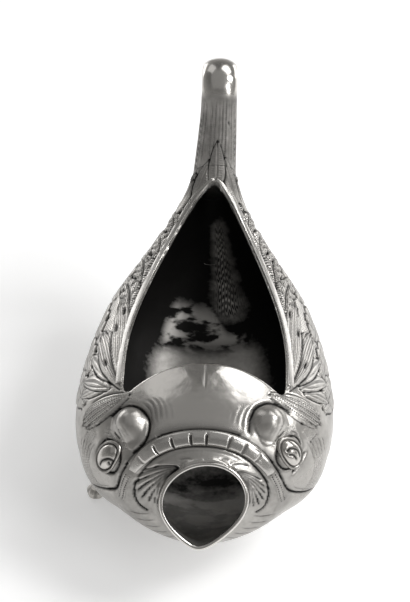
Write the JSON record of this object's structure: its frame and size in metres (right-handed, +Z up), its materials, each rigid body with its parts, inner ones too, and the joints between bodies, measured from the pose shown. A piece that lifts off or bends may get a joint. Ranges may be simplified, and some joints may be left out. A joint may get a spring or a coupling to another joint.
{
  "type": "sauce boat",
  "caption": "Low silver sauce boat shaped as a grotesque fish head, with the open mouth as spout, a drop-shaped bowl opening, a looped tail handle and cast feet.",
  "frame": {"origin": "on the table under the middle of the boat, midway between the spout's tip and the back of the handle", "axes": "+Z up, +Y from the spout towards the handle, +X to the right of someone facing the mouth"},
  "size_m": [0.101, 0.189, 0.1344],
  "materials": {
    "chased_silver": "chased and oxidised sterling silver",
    "polished_silver": "polished sterling silver",
    "cast_silver": "cast and oxidised sterling silver"
  },
  "bodies": {
    "root": {"body_left_half": "chased_silver", "body_right_half": "chased_silver", "spout_lip_wire": "polished_silver", "rim_border": "polished_silver", "brow_fillet": "polished_silver", "left_eye": "cast_silver", "right_eye": "cast_silver", "handle_outer_shell": "chased_silver", "handle_inner_shell": "chased_silver", "neck_bulkhead": "polished_silver", "left_foot": "cast_silver", "right_foot": "cast_silver", "rear_foot": "cast_silver"}
  },
  "joints": []
}
